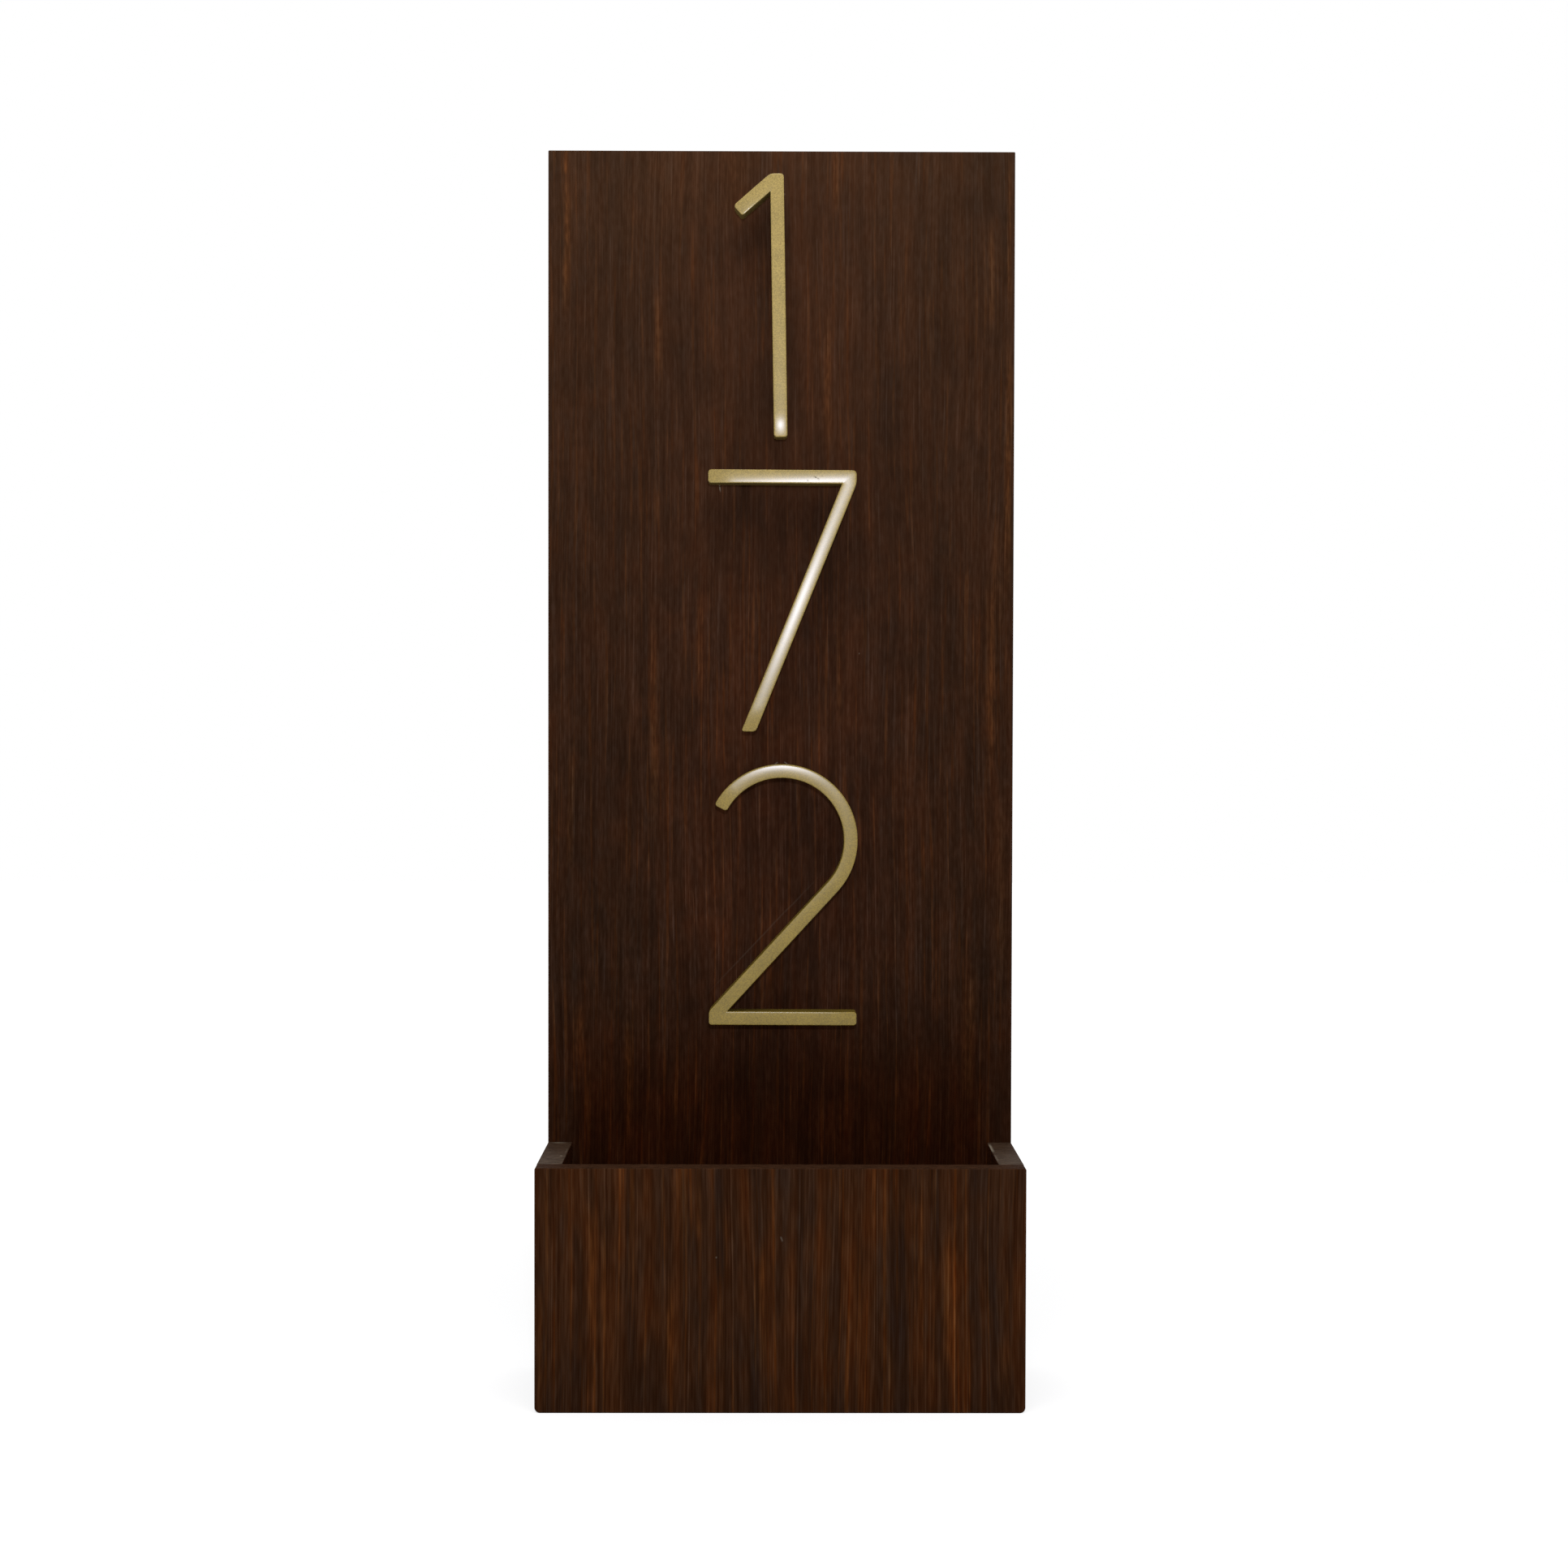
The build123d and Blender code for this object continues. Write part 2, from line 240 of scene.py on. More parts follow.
def floor_paint():
    """Pale paint that shines with distance from the plaque, and not under it."""
    paint = bpy.data.materials.new("floor_paint")
    paint.use_nodes = True
    tree = paint.node_tree
    shader = tree.nodes["Principled BSDF"]
    shader.inputs["Base Color"].default_value = FLOOR_COLOUR
    shader.inputs["Roughness"].default_value = FLOOR_ROUGHNESS
    shader.inputs["Specular IOR Level"].default_value = 0.0
    shader.inputs["Emission Color"].default_value = WHITE
    spot = add(tree, "ShaderNodeTexCoord").outputs["Object"]
    distance = add(tree, "ShaderNodeVectorMath", {0: spot}, operation="LENGTH").outputs["Value"]
    sides = split(tree, spot)
    beside = ease(tree, sums(tree, "ABSOLUTE", sides["X"]), *UNDER_X)
    before = ease(tree, sums(tree, "ABSOLUTE", sides["Y"]), *UNDER_Y)
    lift = ease(tree, distance, NEAR, FAR, NEAR_LIFT, FAR_LIFT)
    lift = sums(tree, "MULTIPLY", lift, sums(tree, "MAXIMUM", beside, before))
    shine = sums(tree, "MULTIPLY", seen_directly(tree), lift)
    fill(tree, shader.inputs["Emission Strength"], shine)
    return paint


half = FLOOR_SIZE / 2
corners = [(-half, -half, 0), (half, -half, 0), (half, half, 0), (-half, half, 0)]
sheet = bpy.data.meshes.new("floor")
sheet.from_pydata(corners, [], [(0, 1, 2, 3)])
floor = bpy.data.objects.new("floor", sheet)
bpy.context.scene.collection.objects.link(floor)
sheet.materials.append(floor_paint())
print("floor of", FLOOR_SIZE, "m")

# %% [markdown]
# ## Two lamps
# The plaque is lit twice: a soft lamp above and in front throws the blurred shadows under the
# numerals, and a small flash just above the lens puts the bright spots on the gold. A single sun
# would give hard shadows, so both are square area lamps.

# %% Lamps
WARM_WHITE, COOL_WHITE = (1.0, 0.97, 0.93), (0.78, 0.83, 1.0)
# for each lamp: its place, what it points at and its width in metres, its watts and its colour
LAMPS = {
    "high_lamp": ((0.0, -0.36, 1.08), (0.0, 0.03, 0.40), 0.32, 2.1, WARM_WHITE),
    "flash": ((0.007, -1.24, 0.446), (0.0, 0.03, 0.38), 0.035, 4.4, COOL_WHITE),
}


def soft_lamp(name, place, aim, width, watts, colour):
    """A square area lamp at a place in metres that points at another place."""
    data = bpy.data.lights.new(name, "AREA")
    data.size = width
    data.energy = watts
    data.color = colour
    lamp = bpy.data.objects.new(name, data)
    turn = (Vector(aim) - Vector(place)).to_track_quat("-Z", "Y").to_matrix().to_4x4()
    lamp.matrix_world = Matrix.Translation(Vector(place)) @ turn
    bpy.context.scene.collection.objects.link(lamp)
    return lamp


lamps = [soft_lamp(name, *values) for name, values in LAMPS.items()]
print("lamps:", [lamp.name for lamp in lamps])

# %% [markdown]
# ## Straight grain
# The boards are straight-grained: hair-fine fibres, threads and broader bands all run along the
# length, and the stain takes each of them differently. A picture of wood could be projected, but a
# solid texture runs through a board as its grain does, so that each face fits the next.
# Each layer is soft noise, narrow across the grain and stretched along it, and a smooth step gives
# its lines clear edges. Real lines of one width come in many lengths, so every width is laid down
# three times, short, middling and long. The fibres mostly lighten and darken, and the broader figure
# also warms the colour. A slow sideways bend keeps the lines from looking ruled, a few bright hairs
# lie on top, and fine pores sink in.

# %% Grain layers
FIBRE_WIDTHS = ((0.8, 0.92), (1.9, 0.75))
FIBRE_LENGTHS = ((5, 0.57), (19, 0.55), (80, 0.61))
FIGURE_WIDTHS = ((4.2, 0.54), (9.0, 0.40), (19.0, 0.18), (40.0, 0.14))
FIGURE_LENGTHS = ((10, 0.50), (40, 0.65), (120, 0.57))
LINE_EDGE, LINE_SWING = (0.34, 0.66), (-0.169, 0.169)


def layered(tree, place, widths, lengths):
    """Sum of stepped noise over every width and length, each times the two weights beside them."""
    total = 0.0
    for width, strong in widths:
        for length, share in lengths:
            spread = (width, width, max(length, width))
            line = ease(tree, noise(tree, place, spread, detail=0.0), *LINE_EDGE, *LINE_SWING)
            total = sums(tree, "MULTIPLY_ADD", line, strong * share, total)
    return total


print("grain layers:", (len(FIBRE_WIDTHS) + len(FIGURE_WIDTHS)) * len(FIBRE_LENGTHS))

# %% Grain group
BEND, BEND_SPREAD = 7.0, (55, 55, 170)
HAIR_SPREAD, HAIR_EDGE, HAIR_LIGHT = (0.9, 0.9, 60), (0.63, 0.71), 0.42
PORE_SPREAD, PORE_EDGE, PORE_DARK, PORE_DEPTH = (0.5, 0.5, 8), (0.60, 0.74), -0.10, -0.6
STREAK_SPREAD, STREAK_EDGE = (1.9, 4.5, 80), (0.57, 0.66)
RAGGED_SPREAD, RAGGED_EDGE, RAGGED_SHARE = (1.2, 1.2, 24), (0.34, 0.60), (0.25, 1.0)


def make_grain_group():
    """Bends the place sideways, shortens it along the grain, then adds up the layers."""
    tree, given, result = new_group(
        "straight_grain",
        [("Position", "V"), ("Length", "F"), ("Fibre Contrast", "F"), ("Figure Contrast", "F")],
        [("Fibre", "F"), ("Figure", "F"), ("Streak", "F"), ("Height", "F")],
    )
    slow = noise(tree, given["Position"], BEND_SPREAD)
    bend = sums(tree, "MULTIPLY_ADD", slow, BEND, -BEND / 2)
    aside = add(tree, "ShaderNodeCombineXYZ", {"X": bend}).outputs[0]
    place = vectors(tree, "ADD", given["Position"], aside)
    shorten = sums(tree, "DIVIDE", 1.0, given["Length"])
    ratio = add(tree, "ShaderNodeCombineXYZ", {"X": 1.0, "Y": 1.0, "Z": shorten}).outputs[0]
    place = vectors(tree, "MULTIPLY", place, ratio)

    hair = ease(tree, noise(tree, place, HAIR_SPREAD), *HAIR_EDGE)
    pore = ease(tree, noise(tree, place, PORE_SPREAD), *PORE_EDGE)
    fibre = layered(tree, place, FIBRE_WIDTHS, FIBRE_LENGTHS)
    fibre = sums(tree, "MULTIPLY_ADD", hair, HAIR_LIGHT, fibre)
    fibre = sums(tree, "MULTIPLY_ADD", pore, PORE_DARK, fibre)
    figure = layered(tree, place, FIGURE_WIDTHS, FIGURE_LENGTHS)
    streak = ease(tree, noise(tree, place, STREAK_SPREAD), *STREAK_EDGE)
    ragged = ease(tree, noise(tree, place, RAGGED_SPREAD), *RAGGED_EDGE, *RAGGED_SHARE)

    fill(tree, result["Fibre"], sums(tree, "MULTIPLY", fibre, given["Fibre Contrast"]))
    fill(tree, result["Figure"], sums(tree, "MULTIPLY", figure, given["Figure Contrast"]))
    fill(tree, result["Streak"], sums(tree, "MULTIPLY", streak, ragged))
    fill(tree, result["Height"], sums(tree, "MULTIPLY_ADD", pore, PORE_DEPTH, fibre))
    return tree


straight_grain = make_grain_group()
print("group", straight_grain.name, "with", len(straight_grain.nodes), "nodes")

# %% [markdown]
# ## Streaks and marks in known places
# Some streaks are strong enough to recognise the board by, and so are a few pale scuffs. Noise
# can't put them where they are, and painting them by hand would need a picture. So a second group
# makes one soft-edged upright or tilted spot from its centre, half width and half length. The same
# group makes the streaks and scuffs in the wood, a faint painted line of light beside the two, and
# a scratch in the gold.

# %% Placed spot group
WANDER_SPREAD = (9, 9, 40)
FADES_FROM, NOISE_MIDDLE = 0.35, 0.5


def make_spot_group():
    """The strength at the centre, falling smoothly to 0 at the half width and the half length."""
    tree, given, result = new_group(
        "placed_spot",
        [("Position", "V"), ("Centre", "V"), ("Half Width", "F"), ("Half Length", "F"),
         ("Tilt", "F"), ("Strength", "F")],
        [("Mask", "F")],
    )
    offset = vectors(tree, "SUBTRACT", given["Position"], given["Centre"])
    parts = split(tree, turned(tree, offset, given["Tilt"]))
    wander = noise(tree, given["Position"], WANDER_SPREAD)
    across = sums(tree, "MULTIPLY_ADD", wander, given["Half Width"], parts["X"])
    across = sums(tree, "MULTIPLY_ADD", given["Half Width"], -NOISE_MIDDLE, across)
    across = sums(tree, "DIVIDE", sums(tree, "ABSOLUTE", across), given["Half Width"])
    along = sums(tree, "DIVIDE", sums(tree, "ABSOLUTE", parts["Z"]), given["Half Length"])
    mask = sums(tree, "MULTIPLY", ease(tree, across, 1.0, 0.0), ease(tree, along, 1.0, FADES_FROM))
    fill(tree, result["Mask"], sums(tree, "MULTIPLY", mask, given["Strength"]))
    return tree


def spots(tree, position, rows):
    """The strongest of several spots: a row is x, z, half width, half length, tilt, strength."""
    strongest = 0.0
    for x, z, half_width, half_length, tilt, strong in rows:
        mask = use_group(tree, placed_spot, {
            "Position": position, "Centre": (x, 0.0, z), "Half Width": half_width,
            "Half Length": half_length, "Tilt": radians(tilt), "Strength": strong,
        })["Mask"]
        strongest = sums(tree, "MAXIMUM", mask, strongest)
    return strongest


placed_spot = make_spot_group()
print("group", placed_spot.name, "with", len(placed_spot.nodes), "nodes")

# %% [markdown]
# ## Painted light on the board
# The board's front is given painted light and shade in its colour. A pale painted sheen grows towards
# the top, as the satin varnish would mirror the bright surroundings, a painted pool of light brightens
# the middle and makes it a little redder, and painted shade darkens the foot, where the box keeps the
# light off. A painted mask could show that, but a few smooth steps over the height and the width keep
# every value in sight.

# %% Painted light and sheen on the board
# painted sheen: a pale tone added where the varnish would mirror the bright surroundings, most towards
# the top
PAINTED_SHEEN = (0.0114, 0.0112, 0.0070)
SHEEN_AT_FOOT, SHEEN_AT_EDGES = 0.36, 0.12
SHEEN_EDGE, SHEEN_START = (94, 108), (140, 205)
SHEEN_FROM, SHEEN_RISE = 190, 410
# painted light along the middle, and painted shade at the foot where the box keeps the light off
MIDDLE_PAINTED_LIGHT, FOOT_PAINTED_SHADE = (0.22, 0.15, 0.14), (-0.18, -0.36, -0.56)
PAINTED_LIGHT_GROWS, PAINTED_LIGHT_FALLS, PAINTED_LIGHT_ASIDE = (130, 225, 0.0, 1.6), (260, 470, 0.0, 0.9), (85, 15)
FOOT_ASIDE, FOOT_HEIGHT = (108, 92), (178, 118)
ALL_ONE, ALL_HALF = (1.0, 1.0, 1.0), (0.5, 0.5, 0.5)


def painted_light_and_shade(tree, colour, parts, shown):
    """Colour times 1 + painted light along the middle, times 1 + painted shade at the foot, on the front
    only.
    """
    aside = sums(tree, "ABSOLUTE", parts["X"])
    grows, falls = ease(tree, parts["Z"], *PAINTED_LIGHT_GROWS), ease(tree, parts["Z"], *PAINTED_LIGHT_FALLS)
    lit = sums(tree, "MULTIPLY", sums(tree, "SUBTRACT", grows, falls), shown)
    middle = sums(tree, "MULTIPLY", ease(tree, aside, *PAINTED_LIGHT_ASIDE), lit)
    low = sums(tree, "MULTIPLY", ease(tree, aside, *FOOT_ASIDE), ease(tree, parts["Z"], *FOOT_HEIGHT))
    foot = sums(tree, "MULTIPLY", low, shown)
    for share, change in ((middle, MIDDLE_PAINTED_LIGHT), (foot, FOOT_PAINTED_SHADE)):
        factor = vectors(tree, "MULTIPLY_ADD", share, change, ALL_ONE)
        colour = vectors(tree, "MULTIPLY", colour, factor)
    return colour


def add_painted_sheen(tree, colour, parts, shown):
    """Colour + a painted sheen: a pale tone that grows with the square of the height, and is 0 at the
    front's foot.
    """
    edges = ease(tree, sums(tree, "ABSOLUTE", parts["X"]), *SHEEN_EDGE, 0.0, SHEEN_AT_EDGES)
    hidden = sums(tree, "MULTIPLY_ADD", shown, -SHEEN_AT_FOOT, SHEEN_AT_FOOT)
    low = sums(tree, "MAXIMUM", ease(tree, parts["Z"], *SHEEN_START, hidden, SHEEN_AT_FOOT), edges)
    climb = sums(tree, "MULTIPLY_ADD", parts["Z"], 1 / SHEEN_RISE, -SHEEN_FROM / SHEEN_RISE, clamp=True)
    rise = sums(tree, "MULTIPLY", climb, climb)
    share = sums(tree, "MULTIPLY_ADD", rise, 1.0 - SHEEN_AT_FOOT, low)
    return vectors(tree, "ADD", colour, vectors(tree, "MULTIPLY", share, PAINTED_SHEEN))


print("the board fades above", SHEEN_START, "mm and is shaded below", FOOT_HEIGHT, "mm")

# %% [markdown]
# ## Grain lines, end grain and scuffs
# The stain's colour is multiplied by the grain, so dark and light lines keep the tone of the board.
# Where a board is cut across, the ends of its fibres show, and the stain dries there to a paler,
# speckled brown. On the real box these are the rims, palest at the front. A scuff is a placed spot
# that fine noise breaks up, because a smooth one would look like a drop of paint; so is the one
# painted line of light beside the two.

# %% Lines, ends and scuffs
FIBRE_TINT = (0.74, 1.10, 1.60)
END_COVER, RIM_DEPTH = 0.92, (20, -26)
SPECKLE_SPREAD, SPECKLE_DETAIL, SPECKLE_ROUGHNESS = (3.4, 1.1, 1.8), 3.0, 0.7
SPECKLE_EDGE, SPECKLE_SHADE = (0.33, 0.67), (0.62, 1.38)
# the pale tone of the scuffs, and of one painted line of light on the board
SCUFF_AND_PAINTED_LINE = (0.1900, 0.1500, 0.1100, 1.0)
RIM_SCUFF = (0.3200, 0.2700, 0.2000, 1.0)
SCUFF_SPREAD, SCUFF_EDGE = (0.8, 0.8, 0.8), (0.25, 0.5)


def lined(tree, colour, grain, warmth, clear):
    """Colour times 1 + g + g^2 / 2, with g the fibres and the figure, each in its own tint."""
    tinted = vectors(tree, "MULTIPLY", grain["Fibre"], FIBRE_TINT)
    warm = vectors(tree, "MULTIPLY", grain["Figure"], warmth)
    lines = vectors(tree, "MULTIPLY", vectors(tree, "ADD", tinted, warm), clear)
    steep = vectors(tree, "MULTIPLY_ADD", lines, ALL_HALF, ALL_ONE)
    return vectors(tree, "MULTIPLY", colour, vectors(tree, "MULTIPLY_ADD", lines, steep, ALL_ONE))


def ended(tree, colour, position, end, tones):
    """Mixes in the end grain: its tone goes from the back to the front, times a fine speckle."""
    fine = noise(tree, position, SPECKLE_SPREAD, SPECKLE_DETAIL, SPECKLE_ROUGHNESS)
    tone = blend(tree, ease(tree, split(tree, position)["Y"], *RIM_DEPTH), *tones)
    tone = vectors(tree, "MULTIPLY", tone, ease(tree, fine, *SPECKLE_EDGE, *SPECKLE_SHADE))
    return blend(tree, sums(tree, "MULTIPLY", end, END_COVER), colour, tone)


def scuffed_and_lit(tree, colour, position, mask, tone):
    """Mixes in a pale tone where a mask of spots is broken up by fine noise."""
    broken = ease(tree, noise(tree, position, SCUFF_SPREAD, detail=2.0), *SCUFF_EDGE)
    return blend(tree, sums(tree, "MULTIPLY", mask, broken), colour, tone)


print("speckle of the end grain:", SPECKLE_SPREAD, "mm")

# %% [markdown]
# ## Stained wood
# The stain is a deep brown that goes to rust where the soft grain shows through. Five materials with
# five trees could be drawn one by one, but every board has the same recipe with its own values:
# where it was cut from, its depth of stain, how long, strong and clear its figure is, and which
# streaks and scuffs it carries. The varnish is thin and satin, so its gloss is low and changes with
# the fibres.

# %% Stained wood recipe
BOARD_STAIN = (0.0317, 0.0099, 0.0036)
FRONT_STAIN = (0.0472, 0.0165, 0.0058)
RUST = (0.0900, 0.0265, 0.0055, 1.0)
BOARD_WARMTH, FRONT_WARMTH = (1.24, 0.85, 0.50), (1.52, 0.80, -0.38)
END_AT_BACK = (0.0620, 0.0360, 0.0220, 1.0)
END_AT_FRONT = (0.1120, 0.0780, 0.0560, 1.0)
END_STAINED = (0.0510, 0.0226, 0.0114, 1.0)
# the sides and the bottom are made a little darker towards the bottom
PLAIN_HEIGHT_RAMP, EVENLY_CLEAR = (0, 110, 0.9, 1.0), (0, 1, 1.0, 1.0)
LOOKS_AHEAD, CUT_ACROSS = (-0.5, -0.9), (0.55, 0.9)
STREAK_WEAR = (-0.15, 0.15, 0.55, 1.1)
SATIN, BY_GRAIN, BY_PATCH, BY_END = 0.46, 0.16, 0.10, 0.12
PATCH_SPREAD, QUARTER_TURN = (30, 30, 90), radians(90)
VARNISH_SHINE, GRAIN_BUMP, GRAIN_DEPTH = 0.009, 0.18, 0.12


def stained_wood(name, cut_from, stain=BOARD_STAIN, length=1.3, contrast=(1.2, 1.2), rust=0.4,
                 height_ramp=PLAIN_HEIGHT_RAMP, clearness=EVENLY_CLEAR, warmth=BOARD_WARMTH, along="Z",
                 with_painted_light=False, tones=(END_AT_BACK, END_AT_FRONT), streaks=(), marks=(),
                 rim_marks=()):
    """Stain mixed with rust, times a ramp over the height, then painted light, grain, ends and marks."""
    material, tree, shader, position = new_material(name)
    parts, facing = split(tree, position), facing_of(tree)
    shown = ease(tree, facing["Y"], *LOOKS_AHEAD)
    end = ease(tree, sums(tree, "ABSOLUTE", facing[along]), *CUT_ACROSS)
    upright = turned(tree, position, QUARTER_TURN) if along == "X" else position
    grain = use_group(tree, straight_grain, {
        "Position": vectors(tree, "ADD", upright, cut_from), "Length": length,
        "Fibre Contrast": contrast[0], "Figure Contrast": contrast[1],
    })

    clear = ease(tree, parts["Z"], *clearness)
    streak = sums(tree, "MULTIPLY", grain["Streak"], sums(tree, "MULTIPLY", clear, rust))
    if streaks:
        kept = ease(tree, grain["Fibre"], *STREAK_WEAR)
        placed = sums(tree, "MULTIPLY", spots(tree, position, streaks), kept)
        streak = sums(tree, "MAXIMUM", streak, placed)
    colour = blend(tree, streak, (*stain, 1.0), RUST)
    # on the board and the box's front this height ramp is painted light and shade
    colour = vectors(tree, "MULTIPLY", colour, ease(tree, parts["Z"], *height_ramp))
    if with_painted_light:
        colour = painted_light_and_shade(tree, colour, parts, shown)
        colour = add_painted_sheen(tree, colour, parts, shown)
    colour = lined(tree, colour, grain, warmth, clear)
    colour = ended(tree, colour, position, end, tones)
    if marks:
        mask = sums(tree, "MULTIPLY", spots(tree, position, marks), shown)
        colour = scuffed_and_lit(tree, colour, position, mask, SCUFF_AND_PAINTED_LINE)
    if rim_marks:
        flat = add(tree, "ShaderNodeCombineXYZ", {"X": parts["X"], "Z": parts["Y"]}).outputs[0]
        mask = sums(tree, "MULTIPLY", spots(tree, flat, rim_marks), end)
        colour = scuffed_and_lit(tree, colour, position, mask, RIM_SCUFF)

    rough = sums(tree, "MULTIPLY_ADD", grain["Height"], BY_GRAIN, SATIN)
    rough = sums(tree, "MULTIPLY_ADD", noise(tree, position, PATCH_SPREAD, detail=2.0), BY_PATCH, rough)
    rough = sums(tree, "MULTIPLY_ADD", end, BY_END, rough)
    shader.inputs["Specular IOR Level"].default_value = VARNISH_SHINE
    lay_on(tree, shader, colour, rough, grain["Height"], GRAIN_BUMP, GRAIN_DEPTH)
    return material


print("stains:", BOARD_STAIN, FRONT_STAIN)

# %% [markdown]
# ## The five boards
# The board and the box's front are cut from different wood: the front's figure is longer, stronger
# and redder, and the board's shows less clearly towards its top, under the painted sheen. One wood
# for all would be simpler, but the difference is plain to see. Their strongest streaks and scuffs
# are listed by place, with one painted line of light. The box's sides and bottom are hardly seen, so
# they keep the recipe's own values, apart from the worn rims.

# %% Streaks and scuffs
# rows of x, z, half width and half length in millimetres, tilt in degrees, and strength
board_streaks = [
    (103.5, 344, 4.2, 60, 0, 0.55), (111.4, 446, 2.6, 75, 0, 0.75), (-62.5, 322, 3.4, 62, 0, 0.45),
    (93.0, 168, 4.6, 42, 0, 0.45), (23.0, 488, 4.0, 42, 0, 0.40), (-105.0, 557, 3.0, 42, 0, 0.72),
    (-105.6, 595, 1.8, 8, 0, 0.80), (-75.1, 146, 2.8, 38, 0, 0.55), (102.7, 540, 2.6, 34, 0, 0.42),
    (111.3, 561, 2.0, 48, 0, 0.55), (-103.0, 279, 2.4, 38, 0, 0.42), (-39.5, 359, 2.7, 34, 0, 0.42),
    (-98.4, 168, 4.8, 18, 0, 0.45), (-24.0, 586, 15.0, 26, 0, 0.24), (-52.0, 594, 60.0, 50, 0, 0.10),
    (106.5, 388, 4.5, 44, 0, 0.28), (108.5, 238, 5.0, 60, 0, 0.24), (28.7, 349, 2.2, 34, 0, 0.38),
    (-60.6, 511, 2.8, 28, 0, 0.38), (26.3, 588, 3.2, 20, 0, 0.42),
]
# all scuffs but the last row: a faint pale line of painted light beside the two's diagonal, at the edge
# of a faint shadow
board_scuffs_and_light_line = [
    (-2.2, 301.4, 0.5, 1.3, -55, 0.8), (0.3, 300.7, 1.6, 0.45, 0, 0.8), (2.6, 301.5, 0.5, 1.3, 55, 0.8),
    (-30.2, 436.4, 0.45, 2.4, 8, 1.0), (1.4, 580.0, 0.4, 0.5, 0, 0.5), (38.6, 355.4, 0.4, 0.5, 0, 0.6),
    (-7.9, 217.4, 0.6, 46, -43.5, 0.13),
]
front_streaks = [
    (-87.7, 66, 3.2, 40, 0, 0.70), (-51.2, 30, 2.6, 42, 0, 0.85), (65.5, 67, 2.2, 58, 0, 0.60),
    (77.7, 51, 3.0, 40, 0, 0.65), (-8.1, 50, 2.8, 38, 0, 0.60), (-111.9, 32, 2.4, 38, 0, 0.65),
    (51.5, 18, 2.0, 24, 0, 0.50), (-37.8, 93, 2.2, 22, 0, 0.60), (-25.3, 76, 1.9, 22, 0, 0.50),
    (-92.6, 38, 1.7, 18, 0, 0.45), (105.9, 54, 1.4, 16, 0, 0.45), (104.0, 14, 7.0, 26, 0, 0.35),
]
front_marks = [(0.6, 81.5, 0.7, 1.6, 20, 0.5), (-29.8, 72.8, 0.5, 0.6, 0, 0.6)]
# on the rims, which are seen from above, y stands in the place of z
left_rim_marks = [
    (-108.5, 29.8, 5.6, 2.4, 0, 0.45), (-104.6, -9, 0.9, 1.6, 0, 0.6), (-103.2, 6, 0.5, 9, 0, 0.20),
]
right_rim_marks = [(103.0, 15, 1.3, 15, 0, 1.0), (103.0, -14, 0.8, 12, 0, 0.3)]
print("placed streaks:", len(board_streaks) + len(front_streaks))

# %% Stained boards
# painted light and shade over the height: the board is made brighter towards its top, and the box's
# front darker towards its foot
BOARD_PAINTED_LIGHT_RAMP, BOARD_CLEARNESS = (90, 600, 0.84, 1.29), (600, 170, 0.68, 1.18)
FRONT_PAINTED_SHADE_RAMP = (-6, 40, 0.86, 1.0)
wood = {
    "back_board": stained_wood(
        "board_stain", (0, 0, 0), length=1.0, contrast=(1.0, 1.0), rust=0.34, height_ramp=BOARD_PAINTED_LIGHT_RAMP,
        clearness=BOARD_CLEARNESS, with_painted_light=True, streaks=board_streaks, marks=board_scuffs_and_light_line),
    "front_panel": stained_wood(
        "front_stain", (310, 0, 700), FRONT_STAIN, length=2.3, contrast=(1.48, 1.30), rust=0.62,
        height_ramp=FRONT_PAINTED_SHADE_RAMP, warmth=FRONT_WARMTH, tones=(END_STAINED, END_STAINED),
        streaks=front_streaks, marks=front_marks),
    "left_side_panel": stained_wood("left_side_stain", (620, 0, 90), rim_marks=left_rim_marks),
    "right_side_panel": stained_wood("right_side_stain", (900, 0, 410), rim_marks=right_rim_marks),
    "bottom_panel": stained_wood("bottom_stain", (1200, 0, 230), along="X"),
}
print("stained boards:", sorted(wood))

# %% [markdown]
# ## Outlines of the numerals
# Each numeral is one stroke of even width that bends or turns a corner. It could be a curve with a
# bevel, but the corners are mitred and slightly rounded outside only. So the two edges of the
# stroke are given as runs of points with the same count, near edge and far edge. At a corner the
# inner edge stands almost still, in tiny steps, while the outer edge goes round it.

# %% Runs of points
STEP, CORNER_STEPS = 2.0, 9


def soften(points, reach):
    """Each inner corner becomes a curve: corner + reach x ((1 - t)^2 x way back + t^2 x way on)."""
    points = np.asarray(points, float)
    corner = points[1:-1, None]
    back = points[:-2, None] - corner
    on = points[2:, None] - corner
    back = back / np.linalg.norm(back, axis=2, keepdims=True)
    on = on / np.linalg.norm(on, axis=2, keepdims=True)
    t = np.linspace(0.0, 1.0, CORNER_STEPS)[None, :, None]
    curve = corner + reach * ((1.0 - t) ** 2 * back + t ** 2 * on)
    return np.vstack([points[:1], curve.reshape(-1, 2), points[-1:]])


def lengths_along(points):
    """The length from the first point to each point of a run."""
    return np.concatenate([[0.0], np.cumsum(np.linalg.norm(np.diff(points, axis=0), axis=1))])


def spaced(points, count):
    """A run of points taken again at even lengths."""
    points = np.asarray(points, float)
    reach = lengths_along(points)
    at = np.linspace(0.0, reach[-1], count)
    return np.stack([np.interp(at, reach, points[:, axis]) for axis in (0, 1)], axis=1)


def joined(stretches):
    """Both edges of a stroke from stretches of near edge, far edge and number of points."""
    near = [spaced(a, count) for a, b, count in stretches]
    far = [spaced(b, count) for a, b, count in stretches]
    return [np.vstack([edge[0]] + [run[1:] for run in edge[1:]]) for edge in (near, far)]


def straight(a, b):
    """Number of points on a straight stretch of about one step each."""
    return int(np.hypot(b[0] - a[0], b[1] - a[1]) / STEP) + 2


print("points every", STEP, "mm on straight stretches")

